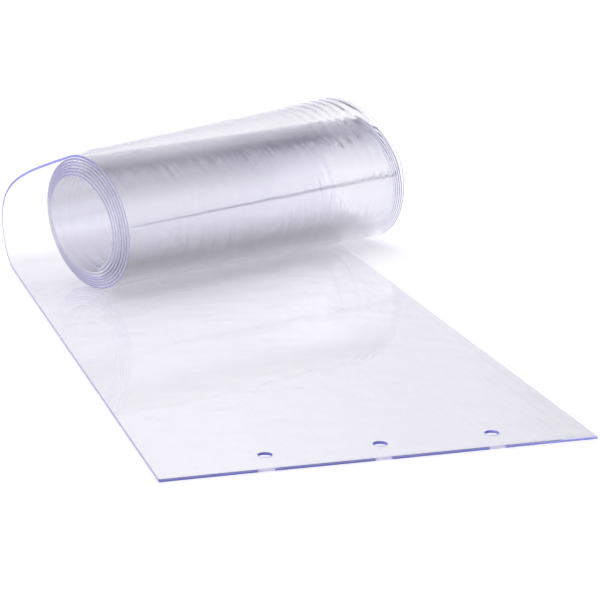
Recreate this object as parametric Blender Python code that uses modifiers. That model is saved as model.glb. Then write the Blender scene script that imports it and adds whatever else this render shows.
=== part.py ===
"""A ready-punched strip of clear soft PVC for a strip curtain door, partly unrolled on the floor.

The strip is one extruded length. It runs flat from its punched end, passes under its own roll,
turns up and forward in a loose rear bend, and joins the roll at the top as the outermost turn.
Each node is one stretch of that strip, and the stretches meet square, end to end.

Working frame, in metres: X across the strip, Y along it from the punched end, Z up from the
floor. At the end everything moves so that the origin is the middle of the footprint.
"""

import math

import bmesh
import bpy
from mathutils import Matrix, Vector

# The strip
STRIP_WIDTH = 0.300
STRIP_THICKNESS = 0.002
FREE_LENGTH = 0.330
JOINT_GAP = 0.0003

# The punched end, which screws to the hanging rail
PUNCHED_LENGTH = 0.060
HOLE_DIAMETER = 0.0100
HOLE_SPACING = 0.079
HOLE_FROM_END = 0.027
HOLE_ROW_OFFSET = 0.006
HOLE_COUNT = 3
HOLE_SIDES = 32
CUT_OVERRUN = 0.002

# The roll, which lies askew across the flat run
BORE_RADIUS = 0.0394
TURN_GAP = 0.0005
TURNS = 6.5
ROLL_SKEW = math.radians(22.7)
ROLL_SETBACK = 0.478
ROLL_INSET = 0.050
SEAT_GAP = 0.0003
STEPS_PER_TURN = 72

# How the wound edges lie: inner turns stand out to the left, and the end faces lean
TELESCOPE_PER_TURN = 0.0009
EDGE_LEAN_TOP = 0.0047
EDGE_LEAN_FRONT = 0.0027

# The slack of the outermost turn at its right edge, which lifts off the roll early and stands a
# little proud of it down the front
SLACK = 0.0155
SLACK_REACH = math.radians(66)
FRONT_SLACK = 0.0026
FRONT_SLACK_TOP = math.radians(50)
FRONT_SLACK_END = math.radians(115)

# The loose rear bend
LEAVING_ANGLE = math.radians(22)
LIFT_OFF_SKEW = math.radians(7.5)
LIFT_OFF_BEHIND_ROLL = 0.084
REAR_REACH = 0.056
REAR_HEIGHT = 0.0345
FLOOR_HANDLE_SHARE = 0.62
LOWER_HANDLE_SHARE = 0.55
UPPER_HANDLE_SHARE = 1.05
TOP_HANDLE_SHARE = 0.48
BEND_STEPS = 28
TOP_STEPS = 20
SHARP_EDGE_ANGLE = math.radians(40)

# Clear soft PVC
PVC_COLOUR = (0.83, 0.83, 0.95, 1.0)
PVC_ROUGHNESS = 0.05
PVC_IOR = 1.53
PVC_TRANSMISSION = 0.9

# Worked out from the sizes above
TURN_PITCH = STRIP_THICKNESS + TURN_GAP
START_RADIUS = BORE_RADIUS + STRIP_THICKNESS / 2 + TURNS * TURN_PITCH
MID_HEIGHT = STRIP_THICKNESS / 2
AXIS = Vector((math.cos(ROLL_SKEW), math.sin(ROLL_SKEW), 0.0))
BACKWARD = Vector((-math.sin(ROLL_SKEW), math.cos(ROLL_SKEW), 0.0))
UPWARD = Vector((0.0, 0.0, 1.0))
LEFT_X = -STRIP_WIDTH / 2
RIGHT_X = STRIP_WIDTH / 2
LIFT_OFF_LEFT = ROLL_SETBACK + LIFT_OFF_BEHIND_ROLL
LIFT_OFF_RIGHT = LIFT_OFF_LEFT + STRIP_WIDTH * math.tan(LIFT_OFF_SKEW)


def turn_radius(angle):
    """Middle radius of the wound strip, at an angle from the top of the roll towards its front."""
    return START_RADIUS - TURN_PITCH * (angle + LEAVING_ANGLE) / math.tau


ROLL_HEIGHT = STRIP_THICKNESS + SEAT_GAP + turn_radius(math.pi) + STRIP_THICKNESS / 2


def slack_at(angle):
    """How far the outermost turn stands off at its right edge."""
    share = max(0.0, 1 - (angle + LEAVING_ANGLE) / SLACK_REACH)
    down = (angle - FRONT_SLACK_TOP) / (FRONT_SLACK_END - FRONT_SLACK_TOP)
    down = min(1.0, max(0.0, down))
    return SLACK * share**2 + FRONT_SLACK * (1 + math.cos(math.pi * down)) / 2


def wound_row(angle):
    """The strip's left and right edge points on the roll."""
    lean = -EDGE_LEAN_TOP * math.cos(angle) + EDGE_LEAN_FRONT * math.sin(angle)
    shift = lean - TELESCOPE_PER_TURN * (angle + LEAVING_ANGLE) / math.tau
    centre = Vector((LEFT_X + ROLL_INSET, ROLL_SETBACK, ROLL_HEIGHT)) + shift * AXIS
    outward = -math.sin(angle) * BACKWARD + math.cos(angle) * UPWARD
    left = centre + turn_radius(angle) * outward
    right = centre + STRIP_WIDTH * AXIS + (turn_radius(angle) + slack_at(angle)) * outward
    return left, right


def bezier(start, handle_a, handle_b, end, share):
    """A point on a cubic curve between two ends and their handles."""
    rest = 1 - share
    return (
        rest**3 * start
        + 3 * rest**2 * share * handle_a
        + 3 * rest * share**2 * handle_b
        + share**3 * end
    )


def edge_curve(side_x, lift_off_y, leaving_point, leaving_direction, share):
    """A point on one edge of the loose bend: shares 0 to 1 rise from the floor to the rearmost
    line, and 1 to 2 run from there over the top to the roll."""
    floor_point = Vector((side_x, lift_off_y, MID_HEIGHT))
    rear_point = Vector((side_x, lift_off_y + REAR_REACH, REAR_HEIGHT))
    if share <= 1:
        floor_handle = floor_point + Vector((0, REAR_REACH * FLOOR_HANDLE_SHARE, 0))
        rear_handle = rear_point - UPWARD * REAR_HEIGHT * LOWER_HANDLE_SHARE
        return bezier(floor_point, floor_handle, rear_handle, rear_point, share)
    top_run = (rear_point - leaving_point).length
    rear_handle = rear_point + UPWARD * REAR_HEIGHT * UPPER_HANDLE_SHARE
    top_handle = leaving_point + leaving_direction * top_run * TOP_HANDLE_SHARE
    return bezier(rear_point, rear_handle, top_handle, leaving_point, share - 1)


def bend_row(share):
    """The strip's left and right edge points on the loose bend."""
    ends = wound_row(-LEAVING_ANGLE)
    before = wound_row(-LEAVING_ANGLE + math.tau / STEPS_PER_TURN)
    leaving = [(end - point).normalized() for end, point in zip(ends, before)]
    left = edge_curve(LEFT_X, LIFT_OFF_LEFT, ends[0], leaving[0], share)
    right = edge_curve(RIGHT_X, LIFT_OFF_RIGHT, ends[1], leaving[1], share)
    return left, right


def rows_between(row_at, start, end, steps):
    """Edge point pairs at equal steps from start to end."""
    return [row_at(start + (end - start) * step / steps) for step in range(steps + 1)]


def drawn_in(rows):
    """The same rows with both ends drawn in, so that neighbouring stretches keep their gap."""
    trimmed = [list(row) for row in rows]
    for end, inner in ((0, 1), (-1, -2)):
        for side in (0, 1):
            step = rows[inner][side] - rows[end][side]
            trimmed[end][side] = rows[end][side] + step.normalized() * JOINT_GAP / 2
    return trimmed


def clear_pvc(name):
    """Clear, faintly blue, glossy PVC."""
    material = bpy.data.materials.new(name)
    material.use_nodes = True
    shader = material.node_tree.nodes["Principled BSDF"]
    shader.inputs["Base Color"].default_value = PVC_COLOUR
    shader.inputs["Roughness"].default_value = PVC_ROUGHNESS
    shader.inputs["Metallic"].default_value = 0.0
    shader.inputs["IOR"].default_value = PVC_IOR
    shader.inputs["Transmission Weight"].default_value = PVC_TRANSMISSION
    material.diffuse_color = PVC_COLOUR
    return material


def object_from(mesh_builder, name, collection):
    """An object made of what the bmesh holds."""
    mesh = bpy.data.meshes.new(name)
    mesh_builder.to_mesh(mesh)
    mesh_builder.free()
    thing = bpy.data.objects.new(name, mesh)
    collection.objects.link(thing)
    return thing


def curved_stretch(name, rows, collection):
    """A stretch lofted between its two edges and thickened evenly about its middle surface."""
    sheet = bmesh.new()
    pairs = [[sheet.verts.new(point) for point in row] for row in drawn_in(rows)]
    for (left, right), (next_left, next_right) in zip(pairs, pairs[1:]):
        sheet.faces.new((left, right, next_right, next_left))
    thing = object_from(sheet, name, collection)
    thing.data.shade_smooth()
    thing.data.set_sharp_from_angle(angle=SHARP_EDGE_ANGLE)
    solid = thing.modifiers.new("strip_thickness", "SOLIDIFY")
    solid.thickness = STRIP_THICKNESS
    solid.offset = 0
    solid.use_even_offset = True
    thing.data.materials.append(clear_pvc(name + "_pvc"))
    return thing


def flat_stretch(name, start_y, end_y, collection):
    """A plain rectangular stretch that lies on the floor, its ends drawn in by half a gap."""
    block = bmesh.new()
    length = end_y - start_y - JOINT_GAP
    bmesh.ops.create_cube(block, size=1)
    bmesh.ops.scale(block, vec=(STRIP_WIDTH, length, STRIP_THICKNESS), verts=block.verts)
    thing = object_from(block, name, collection)
    thing.location = (0, (start_y + end_y) / 2, MID_HEIGHT)
    thing.data.materials.append(clear_pvc(name + "_pvc"))
    return thing


def punch_holes(plate, cutters):
    """A row of fixing holes across the plate, one on the middle line."""
    for number in range(HOLE_COUNT):
        punch = bmesh.new()
        bmesh.ops.create_cone(
            punch,
            cap_ends=True,
            segments=HOLE_SIDES,
            radius1=HOLE_DIAMETER / 2,
            radius2=HOLE_DIAMETER / 2,
            depth=STRIP_THICKNESS + 2 * CUT_OVERRUN,
        )
        cutter = object_from(punch, f"hole_punch_{number + 1}", cutters)
        across = HOLE_ROW_OFFSET + (number - (HOLE_COUNT - 1) / 2) * HOLE_SPACING
        cutter.location = (across, HOLE_FROM_END, MID_HEIGHT)
        cutter.hide_render = True
        cutter.display_type = "WIRE"
        hole = plate.modifiers.new(f"hole_{number + 1}", "BOOLEAN")
        hole.operation = "DIFFERENCE"
        hole.solver = "EXACT"
        hole.object = cutter


def least_turn_gap():
    """The least clear space between neighbouring turns, measured on points of both edges."""
    steps = round((TURNS - 1) * STEPS_PER_TURN)
    gaps = []
    for step in range(steps + 1):
        angle = -LEAVING_ANGLE + math.tau * step / STEPS_PER_TURN
        outer, inner = wound_row(angle), wound_row(angle + math.tau)
        for side in (0, 1):
            across = outer[side] - inner[side]
            radial = across - across.dot(AXIS) * AXIS
            gaps.append(radial.length - STRIP_THICKNESS)
    return min(gaps)


def edge_length(rows, side):
    """The length of the strip's left or right edge through these rows."""
    points = [row[side] for row in rows]
    return sum((b - a).length for a, b in zip(points, points[1:]))


def box_of(things):
    """The lowest and highest corners of the finished solids."""
    graph = bpy.context.evaluated_depsgraph_get()
    points = []
    for thing in things:
        solid = thing.evaluated_get(graph)
        points += [thing.matrix_world @ vert.co for vert in solid.data.vertices]
    low = Vector([min(point[axis] for point in points) for axis in range(3)])
    high = Vector([max(point[axis] for point in points) for axis in range(3)])
    return low, high


for thing in list(bpy.data.objects):
    bpy.data.objects.remove(thing, do_unlink=True)

strip_parts = bpy.data.collections.new("pvc_strip_curtain")
hole_cutters = bpy.data.collections.new("pvc_strip_cutters")
bpy.context.scene.collection.children.link(strip_parts)
bpy.context.scene.collection.children.link(hole_cutters)

# The free length, in front of the line where it bends when it is lifted
punched_end = flat_stretch("punched_end", -JOINT_GAP / 2, PUNCHED_LENGTH, strip_parts)
punch_holes(punched_end, hole_cutters)
free_run = flat_stretch("free_run", PUNCHED_LENGTH, FREE_LENGTH, strip_parts)

# The stretch that carries the roll, ending on the slanted line where the strip lifts off
seat_rows = [
    (Vector((LEFT_X, FREE_LENGTH, MID_HEIGHT)), Vector((RIGHT_X, FREE_LENGTH, MID_HEIGHT))),
    bend_row(0),
]
seat_run = curved_stretch("seat_run", seat_rows, strip_parts)

# The loose rear bend, and the run from it over to the top of the roll
bend_rows = rows_between(bend_row, 0, 1, BEND_STEPS)
top_rows = rows_between(bend_row, 1, 2, TOP_STEPS)
rear_bend = curved_stretch("rear_bend", bend_rows, strip_parts)
top_run = curved_stretch("top_run", top_rows, strip_parts)

# All turns of the roll, from its outermost to the inner end of the strip
wound_steps = round(TURNS * STEPS_PER_TURN)
last_angle = -LEAVING_ANGLE + TURNS * math.tau
wound_rows = rows_between(wound_row, -LEAVING_ANGLE, last_angle, wound_steps)
wound_turns = curved_stretch("wound_turns", wound_rows, strip_parts)

# The free length hangs on the line on its top surface where it folds up
bend_line = bpy.data.objects.new("free_length_bend_line", None)
bend_line.location = (0, FREE_LENGTH, STRIP_THICKNESS)
part_frame = bpy.data.objects.new("part_frame", None)
for helper in (bend_line, part_frame):
    strip_parts.objects.link(helper)
bpy.context.view_layer.update()
for thing in (punched_end, free_run):
    thing.parent = bend_line
    thing.matrix_parent_inverse = Matrix.Translation(-bend_line.location)
for thing in (bend_line, seat_run, rear_bend, top_run, wound_turns):
    thing.parent = part_frame
for cutter in hole_cutters.objects:
    cutter.parent = bend_line
    cutter.matrix_parent_inverse = Matrix.Translation(-bend_line.location)

# The origin is the middle of the footprint, on the floor
bpy.context.view_layer.update()
low, high = box_of((punched_end, free_run, seat_run, rear_bend, top_run, wound_turns))
part_frame.location = (-(low.x + high.x) / 2, -(low.y + high.y) / 2, -low.z)
bpy.context.view_layer.update()

edge_lengths = []
for side in (0, 1):
    curved = [edge_length(rows, side) for rows in (seat_rows, bend_rows, top_rows, wound_rows)]
    edge_lengths.append(FREE_LENGTH + sum(curved))
print("size", [round(edge, 4) for edge in high - low])
print("frame shift", [round(edge, 5) for edge in part_frame.location])
print("strip edge lengths", [round(length, 4) for length in edge_lengths])
print("least gap between turns", round(least_turn_gap(), 5))
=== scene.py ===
"""A clear PVC strip for a strip curtain door, punched at one end and partly unrolled from its roll."""

import math

import bmesh
import bpy
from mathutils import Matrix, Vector, noise


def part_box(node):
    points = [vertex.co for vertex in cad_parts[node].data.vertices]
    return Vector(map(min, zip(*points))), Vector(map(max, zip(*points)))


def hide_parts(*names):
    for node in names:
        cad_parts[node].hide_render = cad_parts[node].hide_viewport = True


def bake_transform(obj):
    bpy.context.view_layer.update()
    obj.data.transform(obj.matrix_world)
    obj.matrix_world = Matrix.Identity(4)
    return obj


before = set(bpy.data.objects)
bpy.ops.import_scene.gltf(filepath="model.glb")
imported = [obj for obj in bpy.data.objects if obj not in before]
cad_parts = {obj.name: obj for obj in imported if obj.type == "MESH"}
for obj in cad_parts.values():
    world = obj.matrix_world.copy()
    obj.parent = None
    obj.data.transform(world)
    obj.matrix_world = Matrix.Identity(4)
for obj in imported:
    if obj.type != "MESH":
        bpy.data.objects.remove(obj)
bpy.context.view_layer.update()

# The flat run. The strip is one extruded length of soft clear PVC, 300 mm wide and 2 mm thick.
# It lies on the floor from its cut end to the slanted line behind the roll where it lifts off,
# and stands up off the floor here and there in long shallow waves.
STRIP_WIDTH = 0.300
STRIP_THICKNESS = 0.002
FREE_LENGTH = 0.330
ROLL_SETBACK = 0.478
LIFT_OFF_BEHIND_ROLL = 0.084
LIFT_OFF_SKEW = math.radians(7.5)
FREE_ROWS = 66
SEAT_ROWS = 34
END_CHAMFER = 0.00018
LONG_WAVE = 0.110
LONG_WAVE_HEIGHT = 0.00020

LEFT_X = -STRIP_WIDTH / 2
RIGHT_X = STRIP_WIDTH / 2
MID_HEIGHT = STRIP_THICKNESS / 2
LIFT_OFF_LEFT = ROLL_SETBACK + LIFT_OFF_BEHIND_ROLL
LIFT_OFF_RIGHT = LIFT_OFF_LEFT + STRIP_WIDTH * math.tan(LIFT_OFF_SKEW)
punched_low, punched_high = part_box("punched_end")
CUT_END_MIDDLE = Vector(((punched_low.x + punched_high.x) / 2, punched_low.y, 0.0))


def flat_row(left_y, right_y):
    """The strip's left and right edge points on the floor, straight across or slanted."""
    return Vector((LEFT_X, left_y, MID_HEIGHT)), Vector((RIGHT_X, right_y, MID_HEIGHT))


def flat_rows():
    """The rows of the flat run, from the cut end to the last one before the lift-off line."""
    rows = [flat_row(0, 0), flat_row(END_CHAMFER, END_CHAMFER)]
    for step in range(1, FREE_ROWS + 1):
        along = FREE_LENGTH * step / FREE_ROWS
        rows.append(flat_row(along, along))
    for step in range(1, SEAT_ROWS):
        share = step / SEAT_ROWS
        left_y = FREE_LENGTH + (LIFT_OFF_LEFT - FREE_LENGTH) * share
        right_y = FREE_LENGTH + (LIFT_OFF_RIGHT - FREE_LENGTH) * share
        rows.append(flat_row(left_y, right_y))
    return rows


def floor_wave(across, along):
    """How far the flat strip stands up off the floor."""
    wave = noise.noise(Vector((across / LONG_WAVE, along / LONG_WAVE, 0.0)))
    return LONG_WAVE_HEIGHT * (1 + wave) / 2


# The roll. 6.5 turns of the same strip, wound round an open bore with a little air between them,
# lying askew across the flat run. The inner turns stand out to the left, the ends lean, and the
# outermost turn is slack at its right edge.
BORE_RADIUS = 0.0394
TURN_GAP = 0.0005
TURNS = 6.5
ROLL_SKEW = math.radians(22.7)
ROLL_INSET = 0.050
SEAT_GAP = 0.0003
TELESCOPE_PER_TURN = 0.0009
EDGE_LEAN_TOP = 0.0047
EDGE_LEAN_FRONT = 0.0027
LEAVING_ANGLE = math.radians(22)
SLACK = 0.0155
SLACK_REACH = math.radians(66)
FRONT_SLACK = 0.0026
FRONT_SLACK_TOP = math.radians(50)
FRONT_SLACK_END = math.radians(115)
ROWS_PER_TURN = 72

TURN_PITCH = STRIP_THICKNESS + TURN_GAP
START_RADIUS = BORE_RADIUS + STRIP_THICKNESS / 2 + TURNS * TURN_PITCH
START_GIRTH = math.tau * START_RADIUS
AXIS = Vector((math.cos(ROLL_SKEW), math.sin(ROLL_SKEW), 0.0))
BACKWARD = Vector((-math.sin(ROLL_SKEW), math.cos(ROLL_SKEW), 0.0))
UPWARD = Vector((0.0, 0.0, 1.0))


def turn_radius(angle):
    """Middle radius of the wound strip, at an angle from the top of the roll towards its front."""
    return START_RADIUS - TURN_PITCH * (angle + LEAVING_ANGLE) / math.tau


ROLL_HEIGHT = STRIP_THICKNESS + SEAT_GAP + turn_radius(math.pi) + STRIP_THICKNESS / 2
ROLL_LEFT_END = Vector((LEFT_X + ROLL_INSET, ROLL_SETBACK, ROLL_HEIGHT))


def kept_between(value, least, most):
    """The value, or the nearer limit."""
    return min(most, max(least, value))


def slack_at(angle):
    """How far the outermost turn stands off at its right edge."""
    share = max(0.0, 1 - (angle + LEAVING_ANGLE) / SLACK_REACH)
    down = kept_between((angle - FRONT_SLACK_TOP) / (FRONT_SLACK_END - FRONT_SLACK_TOP), 0.0, 1.0)
    return SLACK * share**2 + FRONT_SLACK * (1 + math.cos(math.pi * down)) / 2


def wound_row(angle):
    """The strip's left and right edge points on the roll."""
    lean = -EDGE_LEAN_TOP * math.cos(angle) + EDGE_LEAN_FRONT * math.sin(angle)
    shift = lean - TELESCOPE_PER_TURN * (angle + LEAVING_ANGLE) / math.tau
    centre = ROLL_LEFT_END + shift * AXIS
    outward = -math.sin(angle) * BACKWARD + math.cos(angle) * UPWARD
    left = centre + turn_radius(angle) * outward
    right = centre + STRIP_WIDTH * AXIS + (turn_radius(angle) + slack_at(angle)) * outward
    return left, right


def wound_rows():
    """The rows of the roll, from its outermost turn to the strip's inner end."""
    last_angle = -LEAVING_ANGLE + TURNS * math.tau
    rows = []
    for step in range(round(TURNS * ROWS_PER_TURN)):
        rows.append(wound_row(-LEAVING_ANGLE + math.tau * step / ROWS_PER_TURN))
    rows.append(wound_row(last_angle - END_CHAMFER / BORE_RADIUS))
    rows.append(wound_row(last_angle))
    return rows


# The loose bend. Behind the roll the strip lifts off the floor, turns back in an open curve and
# comes down on the top of the roll. Nothing holds it but its own stiffness.
REAR_REACH = 0.056
REAR_HEIGHT = 0.0345
FLOOR_HANDLE_SHARE = 0.62
LOWER_HANDLE_SHARE = 0.55
UPPER_HANDLE_SHARE = 1.05
TOP_HANDLE_SHARE = 0.48
LOWER_BEND_ROWS = 34
UPPER_BEND_ROWS = 30

LEAVING_ROW = wound_row(-LEAVING_ANGLE)
ROW_AFTER_LEAVING = wound_row(-LEAVING_ANGLE + math.tau / ROWS_PER_TURN)
LEAVING = [(end - point).normalized() for end, point in zip(LEAVING_ROW, ROW_AFTER_LEAVING)]


def bezier(start, handle_a, handle_b, end, share):
    """A point on a cubic curve between two ends and their handles."""
    rest = 1 - share
    return (
        rest**3 * start
        + 3 * rest**2 * share * handle_a
        + 3 * rest * share**2 * handle_b
        + share**3 * end
    )


def edge_curve(side_x, lift_off_y, leaving_point, leaving_direction, share):
    """A point on one edge of the loose bend: shares 0 to 1 rise from the floor to the rearmost
    line, and 1 to 2 run from there over the top to the roll."""
    floor_point = Vector((side_x, lift_off_y, MID_HEIGHT))
    rear_point = Vector((side_x, lift_off_y + REAR_REACH, REAR_HEIGHT))
    if share <= 1:
        floor_handle = floor_point + Vector((0, REAR_REACH * FLOOR_HANDLE_SHARE, 0))
        rear_handle = rear_point - UPWARD * REAR_HEIGHT * LOWER_HANDLE_SHARE
        return bezier(floor_point, floor_handle, rear_handle, rear_point, share)
    top_run = (rear_point - leaving_point).length
    rear_handle = rear_point + UPWARD * REAR_HEIGHT * UPPER_HANDLE_SHARE
    top_handle = leaving_point + leaving_direction * top_run * TOP_HANDLE_SHARE
    return bezier(rear_point, rear_handle, top_handle, leaving_point, share - 1)


def bend_row(share):
    """The strip's left and right edge points on the loose bend."""
    left = edge_curve(LEFT_X, LIFT_OFF_LEFT, LEAVING_ROW[0], LEAVING[0], share)
    right = edge_curve(RIGHT_X, LIFT_OFF_RIGHT, LEAVING_ROW[1], LEAVING[1], share)
    return left, right


def bend_rows():
    """The rows of the loose bend, from the lift-off line to the last one before the roll."""
    rows = [bend_row(step / LOWER_BEND_ROWS) for step in range(LOWER_BEND_ROWS)]
    rows += [bend_row(1 + step / UPPER_BEND_ROWS) for step in range(UPPER_BEND_ROWS)]
    return rows


# The waves of the wound strip. It is soft enough to keep short waves along its length from being
# wound. The loose outermost turn bellies out between its edges, and its right side is puckered.
WOUND_WAVE = 0.012
WOUND_WAVE_STRETCH = 8
WOUND_WAVE_PLACE = 7.0
WOUND_WAVE_HEIGHT = 0.00016
OUTER_WAVE_SHARE = 0.12
INNER_WAVE_FROM = 4.2
INNER_WAVE_REACH = 0.8
CROWN_HEIGHT = 0.0034
CROWN_LEFT_RISE = 0.12
CROWN_BEFORE = 0.30
CROWN_AFTER = 0.26
PUCKER_SPACING = 0.0108
PUCKER_HEIGHT = 0.00048
PUCKER_REACH = 0.086
PUCKER_FADE_POWER = 1.2
PUCKER_SLANT = 0.10
PUCKER_FROM = 0.22
PUCKER_RISE = 0.1
PUCKER_END = 0.55
PUCKER_FALL = 0.15
PUCKER_EASE_FROM = 0.12
PUCKER_EASE_REACH = 0.17
PUCKER_FRONT_SHARE = 0.14
PUCKER_DRIFT_ACROSS = 0.03
PUCKER_DRIFT_ALONG = 0.05
PUCKER_DRIFT_PLACE = 3.0


def wound_wave(across, along, turned):
    """The short waves left by winding, strongest in the inner turns."""
    spot = Vector((across / WOUND_WAVE, along / WOUND_WAVE / WOUND_WAVE_STRETCH, WOUND_WAVE_PLACE))
    share = kept_between((turned - INNER_WAVE_FROM) / INNER_WAVE_REACH, OUTER_WAVE_SHARE, 1.0)
    return WOUND_WAVE_HEIGHT * noise.noise(spot) * share


def crown_at(across, turned):
    """How far the loose outermost turn bellies out between its edges."""
    coming = kept_between(1 + turned / CROWN_BEFORE, 0.0, 1.0)
    going = kept_between(1 - turned / CROWN_AFTER, 0.0, 1.0)
    share = across / STRIP_WIDTH
    belly = (1 - math.exp(-share / CROWN_LEFT_RISE)) - share
    fade = min(coming, going)
    return CROWN_HEIGHT * belly * fade * fade * (3 - 2 * fade)


def pucker_at(across, along, wound, turned):
    """The ripples near the right edge of the loose outermost turn."""
    coming = kept_between((turned + PUCKER_FROM) / PUCKER_RISE, 0.0, 1.0)
    going = kept_between((PUCKER_END - turned) / PUCKER_FALL, 0.0, 1.0)
    from_edge = kept_between(1 - (STRIP_WIDTH - across) / PUCKER_REACH, 0.0, 1.0)
    ease = kept_between(1 - (turned - PUCKER_EASE_FROM) / PUCKER_EASE_REACH, PUCKER_FRONT_SHARE, 1.0)
    height = PUCKER_HEIGHT * (coming * going) * from_edge**PUCKER_FADE_POWER * ease
    drift_place = (across / PUCKER_DRIFT_ACROSS, along / PUCKER_DRIFT_ALONG, PUCKER_DRIFT_PLACE)
    drift = noise.noise(Vector(drift_place)) / 2
    return height * math.sin(math.tau * ((across + PUCKER_SLANT * wound) / PUCKER_SPACING + drift))


def stand_off(across, along, floor_end, turn_start):
    """How far the strip's middle surface stands off its smooth shape."""
    wound = along - turn_start
    turned = wound / START_GIRTH
    off_floor = kept_between((along - floor_end) / LONG_WAVE, 0.0, 1.0)
    wave = floor_wave(across, along) * (1 - off_floor) + wound_wave(across, along, turned) * off_floor
    return wave - pucker_at(across, along, wound, turned) - crown_at(across, turned)


# The strip's skin. One closed surface from the cut end to the inner end of the roll: two glossy
# faces as they leave the die, and the long edges as the slitting knife leaves them, with their
# corners just broken.
SLIT_CHAMFER = 0.00018
WIDE_COLUMNS = 30
NARROW_COLUMNS = 44
PUCKERED_SHARE = 0.70
FACE, SLIT = 0, 1


def column_shares():
    """Where the columns lie across the strip, closer together on its puckered side."""
    first = SLIT_CHAMFER / STRIP_WIDTH
    last = 1 - first
    shares = [first + (PUCKERED_SHARE - first) * column / WIDE_COLUMNS for column in range(WIDE_COLUMNS)]
    for column in range(NARROW_COLUMNS + 1):
        shares.append(PUCKERED_SHARE + (last - PUCKERED_SHARE) * column / NARROW_COLUMNS)
    return shares


def ring_round(skin, rows, index, shares, heights):
    """The points round the strip at one row: its upper face, its lower face and its two slit edges."""
    last = len(rows) - 1
    left, right = rows[index]
    before, after = rows[max(index - 1, 0)], rows[min(index + 1, last)]
    across = right - left
    half = STRIP_THICKNESS / 2 - (END_CHAMFER if index in (0, last) else 0.0)
    upper, lower = [], []
    for share, height in zip(shares, heights):
        tangent = before[0].lerp(before[1], share) - after[0].lerp(after[1], share)
        normal = tangent.cross(across).normalized()
        middle = left.lerp(right, share) + normal * height
        upper.append(middle + normal * half)
        lower.append(middle - normal * half)
    faces = [[skin.verts.new(point) for point in face] for face in (upper, lower)]
    sides = []
    for column, outward in ((0, -1), (-1, 1)):
        middle = (upper[column] + lower[column]) / 2 + outward * across.normalized() * SLIT_CHAMFER
        rise = (upper[column] - lower[column]).normalized() * (half - SLIT_CHAMFER)
        sides.append((skin.verts.new(middle + rise), skin.verts.new(middle - rise)))
    return faces[0], faces[1], sides


def lay_patch(skin, corners, spots, finish):
    """One face of the skin, with each corner's place across and along the strip."""
    face = skin.faces.new(corners)
    face.smooth = True
    face.material_index = finish
    strip_map = skin.loops.layers.uv["strip_map"]
    for loop, spot in zip(face.loops, spots):
        loop[strip_map].uv = spot


def lay_faces(skin, ring, next_ring, across, v0, v1):
    """The upper and lower faces between two rows."""
    upper, lower = ring[:2]
    next_upper, next_lower = next_ring[:2]
    for column in range(len(across) - 1):
        beside = column + 1
        u0, u1 = across[column], across[beside]
        corners = (upper[column], upper[beside], next_upper[beside], next_upper[column])
        lay_patch(skin, corners, ((u0, v0), (u1, v0), (u1, v1), (u0, v1)), FACE)
        corners = (lower[beside], lower[column], next_lower[column], next_lower[beside])
        lay_patch(skin, corners, ((u1, v0), (u0, v0), (u0, v1), (u1, v1)), FACE)


def lay_slit_edges(skin, ring, next_ring, v0, v1):
    """Both slit edges between two rows: a chamfer, the cut itself and a chamfer."""
    for side, column, base in ((0, 0, 0.0), (1, -1, STRIP_WIDTH)):
        outline = [ring[0][column], *ring[2][side], ring[1][column]]
        next_outline = [next_ring[0][column], *next_ring[2][side], next_ring[1][column]]
        for part in range(3):
            u0 = base + (part - 1) * STRIP_THICKNESS / 3
            u1 = base + part * STRIP_THICKNESS / 3
            corners = [outline[part], next_outline[part], next_outline[part + 1], outline[part + 1]]
            spots = [(u0, v0), (u0, v1), (u1, v1), (u1, v0)]
            if side:
                corners.reverse()
                spots.reverse()
            lay_patch(skin, corners, spots, SLIT)


def lay_cut(skin, ring, across, v, inner_end):
    """The cut face at one end of the strip."""
    upper, lower, sides = ring
    for column in range(len(across) - 1):
        u0, u1 = across[column], across[column + 1]
        corners = [upper[column + 1], upper[column], lower[column], lower[column + 1]]
        spots = [(u1, v), (u0, v), (u0, v + STRIP_THICKNESS), (u1, v + STRIP_THICKNESS)]
        if inner_end:
            corners.reverse()
            spots.reverse()
        lay_patch(skin, corners, spots, SLIT)
    for side, column in ((0, 0), (1, -1)):
        corners = [upper[column], *sides[side], lower[column]]
        if bool(side) != inner_end:
            corners.reverse()
        lay_patch(skin, corners, [(0.0, v)] * 4, SLIT)


def build_strip(name):
    """The whole strip's closed skin."""
    rows = flat_rows() + bend_rows() + wound_rows()
    middles = [(left + right) / 2 for left, right in rows]
    along = [0.0]
    for here, there in zip(middles, middles[1:]):
        along.append(along[-1] + (there - here).length)
    floor_end = along[FREE_ROWS + SEAT_ROWS]
    turn_start = along[FREE_ROWS + SEAT_ROWS + LOWER_BEND_ROWS + UPPER_BEND_ROWS + 1]
    shares = column_shares()
    across = [share * STRIP_WIDTH for share in shares]
    skin = bmesh.new()
    skin.loops.layers.uv.new("strip_map")
    rings = []
    for index, v in enumerate(along):
        heights = [stand_off(u, v, floor_end, turn_start) for u in across]
        rings.append(ring_round(skin, rows, index, shares, heights))
    for index in range(len(rows) - 1):
        lay_faces(skin, rings[index], rings[index + 1], across, along[index], along[index + 1])
        lay_slit_edges(skin, rings[index], rings[index + 1], along[index], along[index + 1])
    lay_cut(skin, rings[0], across, along[0], False)
    lay_cut(skin, rings[-1], across, along[-1], True)
    bmesh.ops.translate(skin, vec=CUT_END_MIDDLE, verts=skin.verts)
    mesh = bpy.data.meshes.new(name)
    skin.to_mesh(mesh)
    skin.free()
    thing = bpy.data.objects.new(name, mesh)
    bpy.context.scene.collection.objects.link(thing)
    return thing


pvc = bpy.data.materials.new("clear_pvc")
slit_pvc = bpy.data.materials.new("slit_pvc")
strip = build_strip("curtain_strip")
strip.data.materials.append(pvc)
strip.data.materials.append(slit_pvc)

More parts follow.
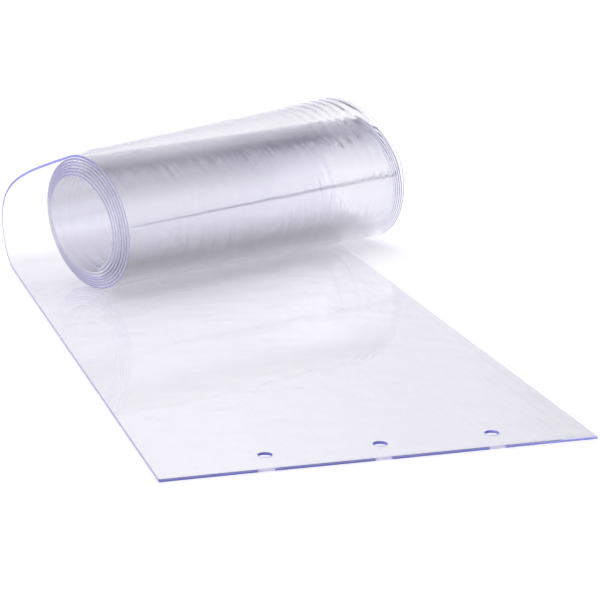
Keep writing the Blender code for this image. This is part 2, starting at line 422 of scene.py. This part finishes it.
# The fixing holes. Three plain holes, punched through the strip in a row near its cut end, for
# the screws of the hanging rail.
HOLE_DIAMETER = 0.0100
HOLE_SPACING = 0.079
HOLE_FROM_END = 0.027
HOLE_ROW_OFFSET = 0.006
HOLE_COUNT = 3
HOLE_SIDES = 64
PUNCH_LENGTH = 0.012
CREASE_ANGLE = math.radians(32)


def make_punch(across):
    """The punch for one hole, this far to the right of the strip's middle."""
    punch = bmesh.new()
    bmesh.ops.create_cone(
        punch,
        cap_ends=True,
        segments=HOLE_SIDES,
        radius1=HOLE_DIAMETER / 2,
        radius2=HOLE_DIAMETER / 2,
        depth=PUNCH_LENGTH,
    )
    for face in punch.faces:
        face.material_index = SLIT
        face.smooth = True
    punch_mesh = bpy.data.meshes.new("hole_punch")
    punch.to_mesh(punch_mesh)
    punch.free()
    punch_mesh.materials.append(pvc)
    punch_mesh.materials.append(slit_pvc)
    cutter = bpy.data.objects.new("hole_punch", punch_mesh)
    bpy.context.scene.collection.objects.link(cutter)
    cutter.location = CUT_END_MIDDLE + Vector((across, HOLE_FROM_END, MID_HEIGHT))
    return cutter


def punch_hole(sheet, across):
    """Punch one hole through the sheet. Its wall gets the finish of the cut edges."""
    cutter = make_punch(across)
    hole = sheet.modifiers.new("hole", "BOOLEAN")
    hole.operation = "DIFFERENCE"
    hole.solver = "EXACT"
    hole.object = cutter
    bpy.context.view_layer.update()
    punched = sheet.evaluated_get(bpy.context.evaluated_depsgraph_get())
    finished = bpy.data.meshes.new_from_object(punched)
    sheet.modifiers.clear()
    sheet.data = finished
    bpy.data.objects.remove(cutter)


for number in range(HOLE_COUNT):
    punch_hole(strip, HOLE_ROW_OFFSET + (number - (HOLE_COUNT - 1) / 2) * HOLE_SPACING)
strip.data.set_sharp_from_angle(angle=CREASE_ANGLE)

# The clear faces. The PVC leaves the die glossy, with fine lines along its length and a slight
# orange peel, and handling leaves a faint haze. The innermost turn is lined more deeply. Just behind
# the cut end the face is painted blue, a painted glow of the blue cut end seen in the face.
FACE_TINT = (0.983, 0.982, 0.991, 1.0)
PAINTED_CUT_END_GLOW = (0.84, 0.84, 0.96, 1.0)
PAINTED_GLOW_FROM = 0.0012
PAINTED_GLOW_END = 0.0045
PVC_IOR = 1.53
FACE_ROUGHNESS = 0.008
HAZE_ROUGHNESS = 0.038
HAZE_SCALE = 18.0
HAZE_DETAIL = 6.0
HAZE_FROM = 0.5
HAZE_FULL = 0.75
RELIEF_HEIGHT = 0.00008
LINE_SPACING = 0.004
LINE_RUN = 1.5
LINE_SHARE = 0.30
DIE_LINE_SPACING = 0.0080
DIE_LINE_RUN = 4.0
DIE_LINE_SHARE = 0.15
INNERMOST_LINE_SHARE = 8.5
INNERMOST_FROM = 2.44
INNERMOST_FULL = 2.52
LINE_DETAIL = 2.0
PEEL_SIZE = 0.006
PEEL_DETAIL = 1.5
PEEL_SHARE = 0.15
WAVE_SIZE = 0.03
WAVE_DETAIL = 1.0
COLOUR_A, COLOUR_B, MIXED_COLOUR = 6, 7, 2


def fill(tree, socket, value):
    """Link a socket to another one, or set it to a plain value."""
    if isinstance(value, bpy.types.NodeSocket):
        tree.links.new(value, socket)
    else:
        socket.default_value = value


def place(tree, kind, **inputs):
    """A node in the tree, with some of its inputs set or linked."""
    node = tree.nodes.new(kind)
    for label, value in inputs.items():
        fill(tree, node.inputs[label], value)
    return node


def maths(tree, operation, first, second=0.0):
    """A sum of two values or sockets."""
    node = tree.nodes.new("ShaderNodeMath")
    node.operation = operation
    fill(tree, node.inputs[0], first)
    fill(tree, node.inputs[1], second)
    return node.outputs[0]


def spread(tree, value, start, end, first=0.0, last=1.0):
    """A value that goes from first to last while the given one goes from start to end."""
    node = place(tree, "ShaderNodeMapRange", Value=value)
    for label, limit in zip(("From Min", "From Max", "To Min", "To Max"), (start, end, first, last)):
        node.inputs[label].default_value = limit
    return node.outputs[0]


def mixed(tree, share, first, second):
    """The colour this share of the way from the first to the second."""
    node = tree.nodes.new("ShaderNodeMix")
    node.data_type = "RGBA"
    fill(tree, node.inputs[0], share)
    fill(tree, node.inputs[COLOUR_A], first)
    fill(tree, node.inputs[COLOUR_B], second)
    return node.outputs[MIXED_COLOUR]


def strip_place(tree):
    """The strip's own map: its place across and along the strip, in metres."""
    node = tree.nodes.new("ShaderNodeUVMap")
    node.uv_map = "strip_map"
    return node.outputs[0]


def drawn_lines(tree, across, along, spacing, run):
    """Noise at this spacing across the strip, drawn out into lines along it."""
    line_place = maths(tree, "DIVIDE", across, spacing)
    line_run = maths(tree, "MULTIPLY", along, run)
    line_map = place(tree, "ShaderNodeCombineXYZ", X=line_place, Y=line_run)
    noise_node = place(tree, "ShaderNodeTexNoise", Vector=line_map.outputs[0], Scale=1.0, Detail=LINE_DETAIL)
    return noise_node.outputs[0]


def patches(tree, spot, size, detail):
    """Soft patches of about this size."""
    scale = maths(tree, "DIVIDE", 1.0, size)
    return place(tree, "ShaderNodeTexNoise", Vector=spot, Scale=scale, Detail=detail).outputs[0]


def build_relief(name):
    """The relief of an extruded face, as a shader group: lines, orange peel and slow waves."""
    group = bpy.data.node_groups.new(name, "ShaderNodeTree")
    group.interface.new_socket("Map", in_out="INPUT", socket_type="NodeSocketVector")
    for label in ("Line Spacing", "Peel Size", "Wave Size"):
        group.interface.new_socket(label, in_out="INPUT", socket_type="NodeSocketFloat")
    group.interface.new_socket("Height", in_out="OUTPUT", socket_type="NodeSocketFloat")
    given = group.nodes.new("NodeGroupInput").outputs
    across, along, _ = place(group, "ShaderNodeSeparateXYZ", Vector=given["Map"]).outputs
    lines = drawn_lines(group, across, along, given["Line Spacing"], LINE_RUN)
    die_lines = drawn_lines(group, across, along, DIE_LINE_SPACING, DIE_LINE_RUN)
    peel = patches(group, given["Map"], given["Peel Size"], PEEL_DETAIL)
    waves = patches(group, given["Map"], given["Wave Size"], WAVE_DETAIL)
    die_share = spread(
        group, along, INNERMOST_FROM, INNERMOST_FULL, DIE_LINE_SHARE, INNERMOST_LINE_SHARE
    )
    height = maths(group, "MULTIPLY", lines, LINE_SHARE)
    height = maths(group, "ADD", height, maths(group, "MULTIPLY", die_lines, die_share))
    height = maths(group, "ADD", height, maths(group, "MULTIPLY", peel, PEEL_SHARE))
    height = maths(group, "ADD", height, waves)
    place(group, "NodeGroupOutput", Height=height)
    return group


def finish_faces(material, relief_group):
    """Clear glossy PVC for the two faces."""
    material.use_nodes = True
    tree = material.node_tree
    shader = tree.nodes["Principled BSDF"]
    spot = strip_place(tree)
    along = place(tree, "ShaderNodeSeparateXYZ", Vector=spot).outputs[1]
    # Painted glow: the face is tinted blue near the cut end, standing in for the cut's light.
    painted_glow_share = spread(tree, along, PAINTED_GLOW_FROM, PAINTED_GLOW_END)
    fill(tree, shader.inputs["Base Color"], mixed(tree, painted_glow_share, PAINTED_CUT_END_GLOW, FACE_TINT))
    haze = place(tree, "ShaderNodeTexNoise", Vector=spot, Scale=HAZE_SCALE, Detail=HAZE_DETAIL)
    roughness = spread(tree, haze.outputs[0], HAZE_FROM, HAZE_FULL, FACE_ROUGHNESS, HAZE_ROUGHNESS)
    fill(tree, shader.inputs["Roughness"], roughness)
    relief = tree.nodes.new("ShaderNodeGroup")
    relief.node_tree = relief_group
    fill(tree, relief.inputs["Map"], spot)
    fill(tree, relief.inputs["Line Spacing"], LINE_SPACING)
    fill(tree, relief.inputs["Peel Size"], PEEL_SIZE)
    fill(tree, relief.inputs["Wave Size"], WAVE_SIZE)
    bump = place(tree, "ShaderNodeBump", Strength=1.0, Distance=RELIEF_HEIGHT, Height=relief.outputs[0])
    fill(tree, shader.inputs["Normal"], bump.outputs[0])
    shader.inputs["IOR"].default_value = PVC_IOR
    shader.inputs["Metallic"].default_value = 0.0
    shader.inputs["Transmission Weight"].default_value = 1.0


finish_faces(pvc, build_relief("extruded_relief"))

# The slit edges, the cut end and the walls of the holes. The knife leaves them half frosted, and
# the blue cast of the PVC shows there in full, since they pass on the light of the whole width.
# Over that blue, light is painted in: the edge is painted brightest along the loose bend and greyer on the
# roll, turn by turn.
EDGE_STOP_LENGTH = 2.8
# The PVC's own blue, painted brighter on the loose bend and greyer on the roll as painted light.
EDGE_BLUE_AND_PAINTED_LIGHT = (
    (0.0, (0.48, 0.45, 0.82)),
    (0.22, (0.48, 0.45, 0.82)),
    (0.24, (0.25, 0.25, 0.97)),
    (0.281, (0.27, 0.27, 0.97)),
    (0.302, (0.54, 0.51, 0.74)),
)
WOUND_FROM = 0.30
EDGE_ROUGHNESS = 0.45
EDGE_CLEARNESS = 0.25
KNIFE_MARK_SCALE = (2500.0, 60.0, 1.0)
KNIFE_MARK_DETAIL = 3.0
KNIFE_MARK_DEPTH = 0.00008
KNIFE_TONE_FROM = 0.35
KNIFE_TONE_FULL = 0.65
KNIFE_TONE_SHARE = 0.20
PALE_TONE = (0.95, 0.95, 1.0, 1.0)
TURN_TONE_SCALE = 4.3
TURN_TONE_DETAIL = 1.0
TURN_TONE_FROM = 0.40
TURN_TONE_FULL = 0.60
TURN_TONE_SHARE = 0.42


def stops(tree, share, colours):
    """The colour at this share of a row of colours, each given with its place."""
    node = tree.nodes.new("ShaderNodeValToRGB")
    fill(tree, node.inputs[0], share)
    elements = node.color_ramp.elements
    while len(elements) < len(colours):
        elements.new(0.5)
    for element, (position, _) in zip(elements, colours):
        element.position = position
    for element, (_, colour) in zip(elements, colours):
        element.color = (*colour, 1.0)
    return node.outputs[0]


def knife_marks(tree, spot):
    """The fine marks of the slitting knife, drawn out along the edge."""
    drag = place(tree, "ShaderNodeMapping", Vector=spot, Scale=KNIFE_MARK_SCALE)
    marks = place(
        tree, "ShaderNodeTexNoise", Vector=drag.outputs[0], Scale=1.0, Detail=KNIFE_MARK_DETAIL
    )
    return marks.outputs[0]


def edge_colour(tree, along, marks, on_roll):
    """The edge's colour and painted light along the strip, paler where the knife dragged and in some of the
    turns.
    """
    pale = spread(tree, marks, KNIFE_TONE_FROM, KNIFE_TONE_FULL)
    pale = maths(tree, "MULTIPLY", pale, KNIFE_TONE_SHARE)
    turn_place = place(tree, "ShaderNodeCombineXYZ", Y=along)
    turn_noise = place(
        tree,
        "ShaderNodeTexNoise",
        Vector=turn_place.outputs[0],
        Scale=TURN_TONE_SCALE,
        Detail=TURN_TONE_DETAIL,
    )
    turn_tone = spread(tree, turn_noise.outputs[0], TURN_TONE_FROM, TURN_TONE_FULL, 0.0, TURN_TONE_SHARE)
    pale = maths(tree, "ADD", pale, maths(tree, "MULTIPLY", turn_tone, on_roll))
    share = maths(tree, "DIVIDE", along, EDGE_STOP_LENGTH)
    return mixed(tree, pale, stops(tree, share, EDGE_BLUE_AND_PAINTED_LIGHT), PALE_TONE)


# The end of the roll, with painted light. Each turn's edge has a painted highlight along its inner
# corner and painted shade along its outer one. The rear of the ring, where the turns are seen close
# behind one another, has painted shade at its top and a painted highlight at its middle height.
# Colours of the painted highlight and painted shade on the roll's end.
SLIT_PAINTED_HIGHLIGHT = (0.98, 0.97, 1.0, 1.0)
SLIT_HIGHLIGHT_SHARE = 0.85
SLIT_HIGHLIGHT_FROM = 0.16
SLIT_HIGHLIGHT_END = 0.36
SLIT_PAINTED_SHADE = (0.30, 0.27, 0.60, 1.0)
SLIT_SHADE_SHARE = 0.75
SLIT_SHADE_FROM = 0.60
SLIT_SHADE_FULL = 0.85
REAR_FROM = -0.004
REAR_FULL = 0.012
REAR_TOP_SHADE_SHARE = 0.55
REAR_TOP_FROM = 0.012
REAR_TOP_FULL = 0.045
REAR_MIDDLE_HIGHLIGHT_SHARE = 0.6
REAR_MIDDLE_DROP = 0.010
REAR_MIDDLE_FULL = 0.012
REAR_MIDDLE_END = 0.034


def reach_along(tree, spot, direction):
    """How far a place or a direction reaches along another direction."""
    node = tree.nodes.new("ShaderNodeVectorMath")
    node.operation = "DOT_PRODUCT"
    fill(tree, node.inputs[0], spot)
    node.inputs[1].default_value = direction
    return node.outputs["Value"]


def painted_light_across_the_slit(tree, colour, across, on_roll):
    """The painted highlight and the painted shade on the two sides of each turn's edge."""
    side = maths(tree, "MODULO", across, STRIP_WIDTH)
    side = maths(tree, "DIVIDE", side, STRIP_THICKNESS / 3)
    highlight_share = spread(tree, side, SLIT_HIGHLIGHT_FROM, SLIT_HIGHLIGHT_END, SLIT_HIGHLIGHT_SHARE, 0.0)
    highlight_share = maths(tree, "MULTIPLY", highlight_share, on_roll)
    colour = mixed(tree, highlight_share, colour, SLIT_PAINTED_HIGHLIGHT)
    shade_share = spread(tree, side, SLIT_SHADE_FROM, SLIT_SHADE_FULL, 0.0, SLIT_SHADE_SHARE)
    shade_share = maths(tree, "MULTIPLY", shade_share, on_roll)
    return mixed(tree, shade_share, colour, SLIT_PAINTED_SHADE)


def behind_roll_axis(tree, spot):
    """From 0 in front of the roll's axis to 1 behind it."""
    axis_place = (CUT_END_MIDDLE + ROLL_LEFT_END).dot(BACKWARD)
    behind = reach_along(tree, spot, BACKWARD)
    return spread(tree, behind, axis_place + REAR_FROM, axis_place + REAR_FULL)


def painted_light_round_the_rear(tree, colour, spot, rear, on_roll):
    """Painted light on the rear of the ring: a painted highlight at its middle and painted shade at its top.
    """
    rear = maths(tree, "MULTIPLY", rear, on_roll)
    height = place(tree, "ShaderNodeSeparateXYZ", Vector=spot).outputs[2]
    rise = maths(tree, "SUBTRACT", height, ROLL_HEIGHT)
    from_middle = maths(tree, "ABSOLUTE", maths(tree, "ADD", rise, REAR_MIDDLE_DROP))
    pale = spread(tree, from_middle, REAR_MIDDLE_FULL, REAR_MIDDLE_END, REAR_MIDDLE_HIGHLIGHT_SHARE, 0.0)
    colour = mixed(tree, maths(tree, "MULTIPLY", pale, rear), colour, SLIT_PAINTED_HIGHLIGHT)
    shade_share = spread(tree, rise, REAR_TOP_FROM, REAR_TOP_FULL, 0.0, REAR_TOP_SHADE_SHARE)
    return mixed(tree, maths(tree, "MULTIPLY", shade_share, rear), colour, SLIT_PAINTED_SHADE)


# The cut end and the walls of the holes. The cut is blue, with painted light: lighter violet at its
# upper corner and painted shade to deep blue at its foot. In front of each hole it is painted pale, a
# painted view of the hole through the clear edge, because the hole keeps the light of the sheet from it.
# Painted light and shade on the cut's blue: lighter at its upper corner, deeper at its foot.
CUT_END_PAINTED_TOP = (0.44, 0.43, 0.83, 1.0)
CUT_END_FOOT = (0.11, 0.15, 0.72, 1.0)
CUT_CORNER = 0.0001
CUT_FOOT = 0.0018
CUT_MAP_END = 0.0025
HOLE_WALL_MAP_END = 0.0001
HOLE_WALL_DEPTH = 0.7
# The pale stretches in front of the holes are a painted view of each hole through the clear edge.
PAINTED_HOLE_VIEW = (0.86, 0.80, 0.93, 1.0)
PAINTED_HOLE_VIEW_PLACE = 0.0705
PAINTED_HOLE_VIEW_HALF = 0.0055
PAINTED_HOLE_VIEW_SOFTNESS = 0.0006


def cut_colour(tree, across, along):
    """The cut end's painted light and shade from its upper corner to its foot, and the hole walls' even
    blue.
    """
    depth = spread(tree, along, CUT_CORNER, CUT_FOOT)
    hole_wall = maths(tree, "LESS_THAN", across, HOLE_WALL_MAP_END)
    hole_wall = maths(tree, "MULTIPLY", hole_wall, HOLE_WALL_DEPTH)
    return mixed(tree, maths(tree, "MAXIMUM", depth, hole_wall), CUT_END_PAINTED_TOP, CUT_END_FOOT)


def in_front_of_hole(tree, across):
    """1 on the stretches of the cut end in front of the holes, and 0 between them."""
    spot = maths(tree, "SUBTRACT", across, PAINTED_HOLE_VIEW_PLACE)
    spot = maths(tree, "DIVIDE", spot, HOLE_SPACING)
    spot = maths(tree, "FRACT", maths(tree, "ADD", spot, 0.5))
    spot = maths(tree, "ABSOLUTE", maths(tree, "SUBTRACT", spot, 0.5))
    spot = maths(tree, "MULTIPLY", spot, HOLE_SPACING)
    inside = PAINTED_HOLE_VIEW_HALF - PAINTED_HOLE_VIEW_SOFTNESS
    outside = PAINTED_HOLE_VIEW_HALF + PAINTED_HOLE_VIEW_SOFTNESS
    return spread(tree, spot, inside, outside, 1.0, 0.0)


# The edges seen through the strip. Light that has crossed the clear width leaves through them
# frosted, and it is painted into their colour: pale on the flat run, dim in the pressed turns, and white at
# the inner end.
SEEN_THROUGH_PAINTED_LIGHT = (
    (0.0, (0.82, 0.81, 0.96)),
    (0.305, (0.82, 0.81, 0.96)),
    (0.335, (0.19, 0.175, 0.37)),
    (0.86, (0.19, 0.175, 0.37)),
    (0.90, (1.0, 1.0, 1.0)),
)
SEEN_THROUGH_FROST = 0.95
SEEN_WHITE_FROM = 0.40
PLAIN_WHITE = (1.0, 1.0, 1.0, 1.0)


def seen_through_painted_light(tree, share, rear):
    """The painted light of the frosted edges, seen from inside the strip."""
    wound = maths(tree, "GREATER_THAN", share, SEEN_WHITE_FROM)
    white = maths(tree, "MULTIPLY", rear, wound)
    return mixed(tree, white, stops(tree, share, SEEN_THROUGH_PAINTED_LIGHT), PLAIN_WHITE)


def finish_edges(material):
    """Half frosted blue PVC for everything that was cut."""
    material.use_nodes = True
    tree = material.node_tree
    shader = tree.nodes["Principled BSDF"]
    spot = strip_place(tree)
    across, along, _ = place(tree, "ShaderNodeSeparateXYZ", Vector=spot).outputs
    solid_place = tree.nodes.new("ShaderNodeTexCoord").outputs["Object"]
    share = maths(tree, "DIVIDE", along, EDGE_STOP_LENGTH)
    on_roll = maths(tree, "GREATER_THAN", share, WOUND_FROM)
    at_cut = maths(tree, "LESS_THAN", along, CUT_MAP_END)
    rear = behind_roll_axis(tree, solid_place)
    marks = knife_marks(tree, spot)
    colour = edge_colour(tree, along, marks, on_roll)
    colour = painted_light_across_the_slit(tree, colour, across, on_roll)
    colour = painted_light_round_the_rear(tree, colour, solid_place, rear, on_roll)
    colour = mixed(tree, at_cut, colour, cut_colour(tree, across, along))
    # Painted view of the holes: the cut end is painted pale in front of each one.
    pale = maths(tree, "MULTIPLY", in_front_of_hole(tree, across), at_cut)
    fill(tree, shader.inputs["Base Color"], mixed(tree, pale, colour, PAINTED_HOLE_VIEW))
    shader.inputs["Roughness"].default_value = EDGE_ROUGHNESS
    shader.inputs["IOR"].default_value = PVC_IOR
    shader.inputs["Transmission Weight"].default_value = EDGE_CLEARNESS
    bump = place(tree, "ShaderNodeBump", Distance=KNIFE_MARK_DEPTH, Height=marks)
    fill(tree, shader.inputs["Normal"], bump.outputs[0])
    # The frosted side seen from inside carries the painted light of the seen-through edges.
    frosted = place(tree, "ShaderNodeBsdfTranslucent", Color=seen_through_painted_light(tree, share, rear))
    inside = tree.nodes.new("ShaderNodeNewGeometry").outputs["Backfacing"]
    both = tree.nodes.new("ShaderNodeMixShader")
    fill(tree, both.inputs[0], maths(tree, "MULTIPLY", inside, SEEN_THROUGH_FROST))
    fill(tree, both.inputs[1], shader.outputs[0])
    fill(tree, both.inputs[2], frosted.outputs[0])
    fill(tree, tree.nodes["Material Output"].inputs["Surface"], both.outputs[0])


finish_edges(slit_pvc)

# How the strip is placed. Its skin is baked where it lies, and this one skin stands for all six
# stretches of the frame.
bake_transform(strip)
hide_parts("punched_end", "free_run", "seat_run", "rear_bend", "top_run", "wound_turns")

# The studio floor. A plain pale floor, matt, which keeps the strip's shadow. It glows a little for
# the camera, in reflections and through the clear strip, and less so through many layers of it: a painted
# shade on the floor seen through the roll.
FLOOR_FRONT = -2.2
FLOOR_BACK = 9.0
FLOOR_SIDE = 7.0
FLOOR_NEAR_SIDE = 0.39
FLOOR_STEP_FRONT = 0.10
FLOOR_STEP_BACK = 2.10
FLOOR_DROP = 0.0003
FLOOR_COLOUR = (0.90, 0.895, 0.89, 1.0)
FLOOR_GLOW = 0.195
FLOOR_GLOW_COLOUR = (1.0, 0.98, 0.88, 1.0)
FEW_LAYERS = 5.0
MANY_LAYERS = 12.0
MANY_LAYERS_SHADED_GLOW = 0.4


def build_floor(name):
    """One flat sheet, cut back at the right, a hair under the strip."""
    outline = [
        (-FLOOR_SIDE, FLOOR_FRONT),
        (FLOOR_NEAR_SIDE, FLOOR_FRONT),
        (FLOOR_NEAR_SIDE, FLOOR_STEP_FRONT),
        (FLOOR_SIDE, FLOOR_STEP_BACK),
        (FLOOR_SIDE, FLOOR_BACK),
        (-FLOOR_SIDE, FLOOR_BACK),
    ]
    mesh = bpy.data.meshes.new(name)
    mesh.from_pydata([(x, y, -FLOOR_DROP) for x, y in outline], [], [tuple(range(len(outline)))])
    thing = bpy.data.objects.new(name, mesh)
    bpy.context.scene.collection.objects.link(thing)
    return thing


def paint_floor(material):
    """Matt pale paint with its faint glow."""
    material.use_nodes = True
    tree = material.node_tree
    shader = tree.nodes["Principled BSDF"]
    shader.inputs["Base Color"].default_value = FLOOR_COLOUR
    shader.inputs["Roughness"].default_value = 1.0
    shader.inputs["Specular IOR Level"].default_value = 0.0
    path = tree.nodes.new("ShaderNodeLightPath").outputs
    seen = maths(tree, "MAXIMUM", path["Is Camera Ray"], path["Is Glossy Ray"])
    seen = maths(tree, "MAXIMUM", seen, path["Is Transmission Ray"])
    first_seen = maths(tree, "LESS_THAN", path["Diffuse Depth"], 0.5)
    # Painted shade: the glow fades where the floor is seen through many layers of the strip.
    layers = spread(
        tree, path["Transmission Depth"], FEW_LAYERS, MANY_LAYERS, 1.0, MANY_LAYERS_SHADED_GLOW
    )
    seen = maths(tree, "MULTIPLY", maths(tree, "MULTIPLY", seen, first_seen), layers)
    shader.inputs["Emission Color"].default_value = FLOOR_GLOW_COLOUR
    fill(tree, shader.inputs["Emission Strength"], maths(tree, "MULTIPLY", seen, FLOOR_GLOW))


floor = build_floor("studio_floor")
floor_paint = bpy.data.materials.new("studio_floor")
paint_floor(floor_paint)
floor.data.materials.append(floor_paint)

# What the studio shows in the glossy strip. Going round the roll's axis there is a bright wall of
# light in front, a dim ceiling with a lit middle and a pale wall behind, with a seam between two
# panels of the front wall, and a wall and a lamp at the right.
STUDIO_LEVELS = (
    (0.0, (1.04, 1.03, 1.05)),
    (0.22, (1.13, 1.12, 1.14)),
    (0.33, (0.93, 0.925, 0.95)),
    (0.48, (0.66, 0.65, 0.70)),
    (0.54, (0.52, 0.51, 0.56)),
    (0.60, (0.40, 0.39, 0.44)),
    (0.66, (0.27, 0.26, 0.30)),
    (0.71, (0.22, 0.21, 0.25)),
    (0.79, (0.32, 0.31, 0.35)),
    (0.87, (0.36, 0.355, 0.42)),
    (0.90, (0.51, 0.505, 0.60)),
    (0.925, (0.63, 0.625, 0.72)),
    (0.96, (0.89, 0.885, 0.95)),
    (1.0, (1.0, 0.995, 1.05)),
)
CEILING_MIDDLE = 0.608
CEILING_SLOPE = 4.8
CEILING_DARKEST = -0.16
CEILING_BRIGHTEST = 0.15
CEILING_FROM = (0.50, 0.60)
CEILING_END = (0.86, 0.93)
SIDE_WALL_STOPS = ((0.80, (0.50, 0.49, 0.56)), (0.85, (0.15, 0.145, 0.18)))
SIDE_WALL_FROM = (0.662, 0.700)
SIDE_WALL_END = (0.80, 0.86)
RIGHT_LAMP = (4.5, 4.5, 4.55, 1.0)
RIGHT_LAMP_FROM = 0.88
SEAM_COLOUR = (0.0, 0.0, 0.08, 1.0)
SEAM_PLANE = (-0.406, -0.714, 0.567)
SEAM_MIDDLE = (0.866, -0.499, -0.008)
SEAM_REACH = 0.93
SEAM_SPREAD = 0.14
SEAM_START = -0.069


def ceiling_level(tree, turned, rightward):
    """How much brighter or darker the ceiling is than its middle, from left to right."""
    level = maths(tree, "SUBTRACT", CEILING_MIDDLE, rightward)
    level = maths(tree, "MULTIPLY", level, CEILING_SLOPE)
    level = maths(tree, "MAXIMUM", level, CEILING_DARKEST)
    level = maths(tree, "MINIMUM", level, CEILING_BRIGHTEST)
    level = maths(tree, "MULTIPLY", level, spread(tree, turned, *CEILING_FROM))
    level = maths(tree, "MULTIPLY", level, spread(tree, turned, *CEILING_END, 1.0, 0.0))
    return place(tree, "ShaderNodeCombineXYZ", X=level, Y=level, Z=level).outputs[0]


def seam_mask(tree, direction, rightward):
    """1 on the narrow seam of the front wall, which widens to the right."""
    offset = maths(tree, "ABSOLUTE", reach_along(tree, direction, SEAM_PLANE))
    half = maths(tree, "ADD", maths(tree, "MULTIPLY", rightward, SEAM_SPREAD), SEAM_START)
    near = maths(tree, "LESS_THAN", offset, half)
    in_front = maths(tree, "GREATER_THAN", reach_along(tree, direction, SEAM_MIDDLE), SEAM_REACH)
    return maths(tree, "MULTIPLY", near, in_front)


def studio_walls(tree, direction):
    """The colours that the strip reflects and lets through, all round it."""
    _, y, z = place(tree, "ShaderNodeSeparateXYZ", Vector=direction).outputs
    around = maths(tree, "ARCTAN2", z, maths(tree, "MULTIPLY", y, -1.0))
    turned = maths(tree, "DIVIDE", around, math.pi)
    rightward = reach_along(tree, direction, AXIS)
    room = tree.nodes.new("ShaderNodeVectorMath")
    room.operation = "ADD"
    fill(tree, room.inputs[0], stops(tree, turned, STUDIO_LEVELS))
    fill(tree, room.inputs[1], ceiling_level(tree, turned, rightward))
    wall_start = spread(tree, rightward, *SIDE_WALL_FROM)
    wall_end = spread(tree, rightward, *SIDE_WALL_END, 1.0, 0.0)
    on_wall = maths(tree, "MULTIPLY", wall_start, wall_end)
    shown = mixed(tree, on_wall, room.outputs[0], stops(tree, turned, SIDE_WALL_STOPS))
    on_lamp = maths(tree, "GREATER_THAN", rightward, RIGHT_LAMP_FROM)
    shown = mixed(tree, on_lamp, shown, RIGHT_LAMP)
    return mixed(tree, seam_mask(tree, direction, rightward), shown, SEAM_COLOUR)


# What the studio lights the floor with. Soft light from overhead, a little behind, with an even
# light all round and a broad soft lamp at the left in front.
LIGHT_DIRECTION = (0.0, 0.34, 0.94)
OVERHEAD_LIGHT = 1.45
ROUND_LIGHT = 0.26
SIDE_LIGHT = 3.8
SIDE_LIGHT_DIRECTION = (-0.80, -0.60, 0.05)
SIDE_LIGHT_NARROWING = 16.0
LIGHT_BLUE = 1.08


def studio_light(tree, direction):
    """The colour and strength of the soft light from each direction."""
    overhead = maths(tree, "MAXIMUM", reach_along(tree, direction, LIGHT_DIRECTION), 0.0)
    overhead = maths(tree, "MULTIPLY", overhead, overhead)
    level = maths(tree, "ADD", maths(tree, "MULTIPLY", overhead, OVERHEAD_LIGHT), ROUND_LIGHT)
    side = maths(tree, "MAXIMUM", reach_along(tree, direction, SIDE_LIGHT_DIRECTION), 0.0)
    side = maths(tree, "POWER", side, SIDE_LIGHT_NARROWING)
    level = maths(tree, "ADD", level, maths(tree, "MULTIPLY", side, SIDE_LIGHT))
    blue = maths(tree, "MULTIPLY", level, LIGHT_BLUE)
    return place(tree, "ShaderNodeCombineColor", Red=level, Green=level, Blue=blue).outputs[0]


# The studio itself. It is plain white to the camera, shows its walls in reflections and through
# the clear strip, and gives its soft light wherever the floor has spread it.
world = bpy.data.worlds.new("studio")
bpy.context.scene.world = world
world.use_nodes = True
world.cycles.sampling_method = "NONE"
sky = world.node_tree
sky_direction = sky.nodes.new("ShaderNodeTexCoord").outputs["Generated"]
sky_path = sky.nodes.new("ShaderNodeLightPath").outputs
seen_sky = mixed(sky, sky_path["Is Camera Ray"], studio_walls(sky, sky_direction), PLAIN_WHITE)
after_floor = maths(sky, "GREATER_THAN", sky_path["Diffuse Depth"], 0.5)
whole_sky = mixed(sky, after_floor, seen_sky, studio_light(sky, sky_direction))
backdrop = sky.nodes["Background"]
fill(sky, backdrop.inputs["Color"], whole_sky)
backdrop.inputs["Strength"].default_value = 1.0

# How the picture is taken. Light is followed through the faces of all 6.5 turns and back, and
# colours are shown as they are written.
scene = bpy.context.scene
scene.view_settings.view_transform = "Standard"
scene.cycles.max_bounces = 48
scene.cycles.transmission_bounces = 48
scene.cycles.glossy_bounces = 24
scene.cycles.diffuse_bounces = 6
scene.cycles.blur_glossy = 0.0

# The camera. It looks down on the strip from in front of its punched end, a little to the left,
# as the photograph does.
SENSOR_WIDTH = 36.0
LENS = 129.91
CAMERA_PLACE = (-0.45650, -1.58772, 0.46533)
CAMERA_TILT = math.radians(74.936)
CAMERA_TURN = math.radians(-16.535)

camera_data = bpy.data.cameras.new("camera")
camera_data.sensor_width = SENSOR_WIDTH
camera_data.lens = LENS
camera = bpy.data.objects.new("camera", camera_data)
camera.location = CAMERA_PLACE
camera.rotation_euler = (CAMERA_TILT, 0.0, CAMERA_TURN)
scene.collection.objects.link(camera)
scene.camera = camera
